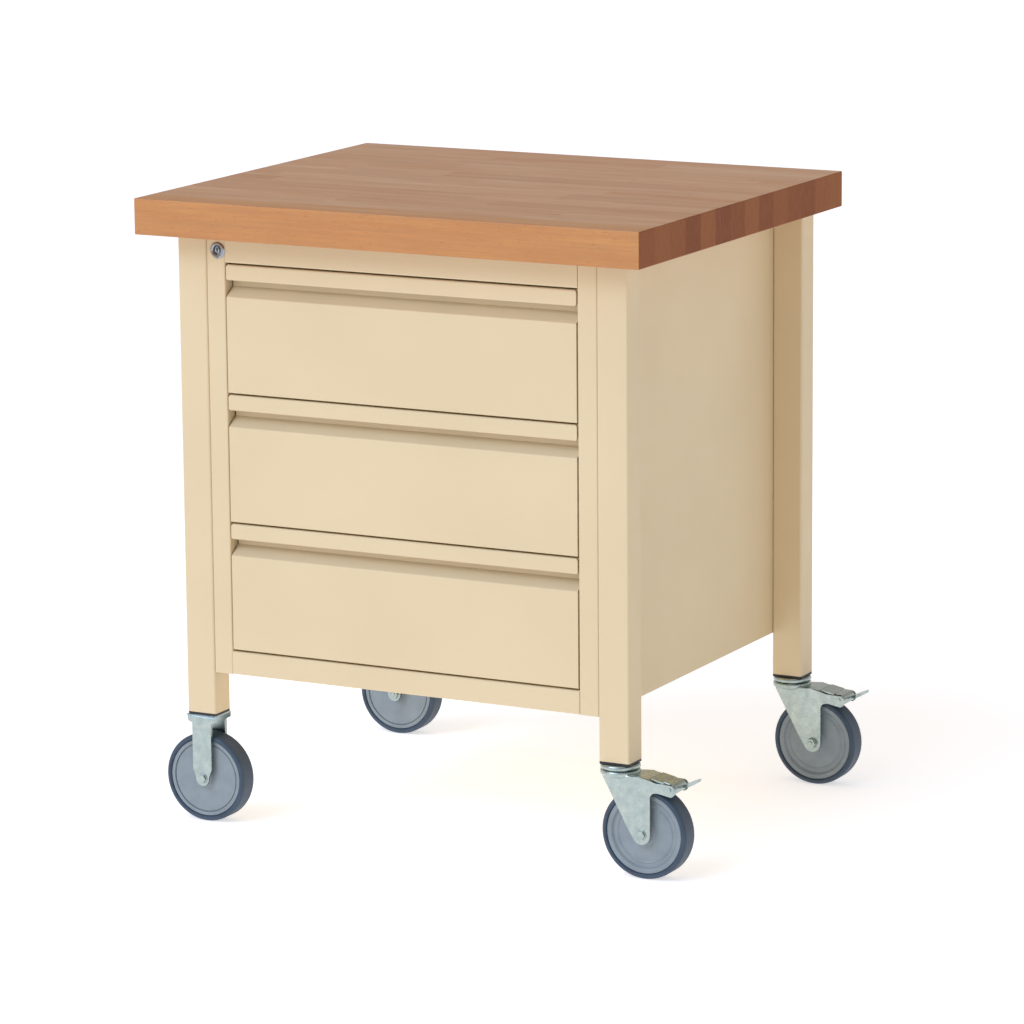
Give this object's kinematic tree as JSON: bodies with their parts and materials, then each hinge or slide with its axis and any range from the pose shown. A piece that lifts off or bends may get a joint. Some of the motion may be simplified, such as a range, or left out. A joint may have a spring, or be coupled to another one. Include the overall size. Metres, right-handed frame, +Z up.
{
  "type": "workbench with drawers",
  "caption": "Mobile workbench: thick beech top on square-tube legs, sheet-steel cabinet of lockable telescopic drawers, two fixed and two braked swivel casters.",
  "frame": {"origin": "on the floor, below the middle of the bench's bounding box, brake pedals included", "axes": "+X to the right seen from the front, +Y to the back, +Z up"},
  "size_m": [0.8211, 0.646, 0.88],
  "materials": {
    "beech": "oiled",
    "cream_paint": "fine powder coat",
    "black_plastic": "matte",
    "grey_rubber": "satin",
    "grey_plastic": "satin",
    "chrome": "polished",
    "zinc": "bright zinc plate"
  },
  "bodies": {
    "bench": {"cabinet_back": "cream_paint", "cabinet_floor": "cream_paint", "cabinet_side_left": "cream_paint", "cabinet_side_right": "cream_paint", "fixed_axles": "zinc", "fixed_forks": "zinc", "front_rail_bottom": "cream_paint", "front_rail_top": "cream_paint", "king_bolts": "zinc", "leg_bolts": "zinc", "leg_end_caps": "black_plastic", "leg_front_left": "cream_paint", "leg_front_right": "cream_paint", "leg_nut_plates": "zinc", "leg_rear_left": "cream_paint", "leg_rear_right": "cream_paint", "lock_bar_guides": "black_plastic", "lock_housing": "chrome", "lock_nut": "zinc", "slide_outers": "zinc", "slide_posts": "zinc", "swivel_heads": "zinc", "worktop": "beech", "worktop_screws": "zinc"},
    "drawer_bottom": {"drawer_front_bottom": "cream_paint", "drawer_tray_bottom": "cream_paint", "drawer_catch_bottom": "zinc", "slide_inner_bottom": "zinc"},
    "runner_bottom": {"slide_middle_bottom": "zinc"},
    "drawer_middle": {"drawer_front_middle": "cream_paint", "drawer_tray_middle": "cream_paint", "drawer_catch_middle": "zinc", "slide_inner_middle": "zinc"},
    "runner_middle": {"slide_middle_middle": "zinc"},
    "drawer_top": {"drawer_front_top": "cream_paint", "drawer_tray_top": "cream_paint", "drawer_catch_top": "zinc", "slide_inner_top": "zinc"},
    "runner_top": {"slide_middle_top": "zinc"},
    "lock_barrel": {"lock_barrel": "chrome", "lock_cam": "zinc"},
    "lock_bar": {"lock_bar": "zinc"},
    "swivel_front": {"swivel_fork_front": "zinc", "swivel_axle_front": "zinc", "brake_pin_front": "zinc"},
    "pedal_front": {"brake_pedal_front": "zinc"},
    "shoe_front": {"brake_shoe_front": "zinc"},
    "wheel_front_left": {"wheel_core_front_left": "grey_plastic", "tyre_front_left": "grey_rubber"},
    "wheel_front_right": {"wheel_core_front_right": "grey_plastic", "tyre_front_right": "grey_rubber"},
    "swivel_rear": {"swivel_fork_rear": "zinc", "swivel_axle_rear": "zinc", "brake_pin_rear": "zinc"},
    "pedal_rear": {"brake_pedal_rear": "zinc"},
    "shoe_rear": {"brake_shoe_rear": "zinc"},
    "wheel_rear_left": {"wheel_core_rear_left": "grey_plastic", "tyre_rear_left": "grey_rubber"},
    "wheel_rear_right": {"wheel_core_rear_right": "grey_plastic", "tyre_rear_right": "grey_rubber"}
  },
  "joints": [
    {"name": "drawer_slide_bottom", "type": "slide", "parent": "bench", "child": "drawer_bottom", "axis": [0, -1, 0], "range_m": [0, 0.451]},
    {"name": "runner_slide_bottom", "type": "slide", "parent": "bench", "child": "runner_bottom", "axis": [0, -1, 0], "range_m": [0, 0.2255]},
    {"name": "drawer_slide_middle", "type": "slide", "parent": "bench", "child": "drawer_middle", "axis": [0, -1, 0], "range_m": [0, 0.451]},
    {"name": "runner_slide_middle", "type": "slide", "parent": "bench", "child": "runner_middle", "axis": [0, -1, 0], "range_m": [0, 0.2255]},
    {"name": "drawer_slide_top", "type": "slide", "parent": "bench", "child": "drawer_top", "axis": [0, -1, 0], "range_m": [0, 0.451]},
    {"name": "runner_slide_top", "type": "slide", "parent": "bench", "child": "runner_top", "axis": [0, -1, 0], "range_m": [0, 0.2255]},
    {"name": "lock_turn", "type": "hinge", "parent": "bench", "child": "lock_barrel", "pos_m": [-0.30765, -0.2755, 0.8085], "axis": [0, -1, 0], "range_deg": [0, 90]},
    {"name": "lock_bar_slide", "type": "slide", "parent": "bench", "child": "lock_bar", "axis": [0, 0, -1], "range_m": [0, 0.0127]},
    {"name": "swivel_turn_front", "type": "hinge", "parent": "bench", "child": "swivel_front", "pos_m": [0.29175, -0.2565, 0.142], "axis": [0, 0, 1], "continuous": true},
    {"name": "brake_pedal_front", "type": "hinge", "parent": "swivel_front", "child": "pedal_front", "pos_m": [0.37375, -0.2565, 0.129], "axis": [0, 1, 0], "range_deg": [0, 18]},
    {"name": "brake_shoe_front", "type": "hinge", "parent": "swivel_front", "child": "shoe_front", "pos_m": [0.31375, -0.2565, 0.1324], "axis": [0, 1, 0], "range_deg": [0, 4]},
    {"name": "wheel_spin_front_left", "type": "hinge", "parent": "bench", "child": "wheel_front_left", "pos_m": [-0.34825, -0.2565, 0.0625], "axis": [0, 1, 0], "continuous": true},
    {"name": "wheel_spin_front_right", "type": "hinge", "parent": "swivel_front", "child": "wheel_front_right", "pos_m": [0.33275, -0.2565, 0.0625], "axis": [0, 1, 0], "continuous": true},
    {"name": "swivel_turn_rear", "type": "hinge", "parent": "bench", "child": "swivel_rear", "pos_m": [0.29175, 0.296, 0.142], "axis": [0, 0, 1], "continuous": true},
    {"name": "brake_pedal_rear", "type": "hinge", "parent": "swivel_rear", "child": "pedal_rear", "pos_m": [0.37375, 0.296, 0.129], "axis": [0, 1, 0], "range_deg": [0, 18]},
    {"name": "brake_shoe_rear", "type": "hinge", "parent": "swivel_rear", "child": "shoe_rear", "pos_m": [0.31375, 0.296, 0.1324], "axis": [0, 1, 0], "range_deg": [0, 4]},
    {"name": "wheel_spin_rear_left", "type": "hinge", "parent": "bench", "child": "wheel_rear_left", "pos_m": [-0.34825, 0.296, 0.0625], "axis": [0, 1, 0], "continuous": true},
    {"name": "wheel_spin_rear_right", "type": "hinge", "parent": "swivel_rear", "child": "wheel_rear_right", "pos_m": [0.33275, 0.296, 0.0625], "axis": [0, 1, 0], "continuous": true}
  ],
  "couplings": [
    {"joint": "runner_slide_bottom", "follows": "drawer_slide_bottom", "ratio": 0.5},
    {"joint": "runner_slide_middle", "follows": "drawer_slide_middle", "ratio": 0.5},
    {"joint": "runner_slide_top", "follows": "drawer_slide_top", "ratio": 0.5},
    {"joint": "lock_turn", "follows": "lock_bar_slide", "rad_per_m": 123.41},
    {"joint": "brake_shoe_front", "follows": "brake_pedal_front", "ratio": 0.22},
    {"joint": "brake_shoe_rear", "follows": "brake_pedal_rear", "ratio": 0.22}
  ]
}
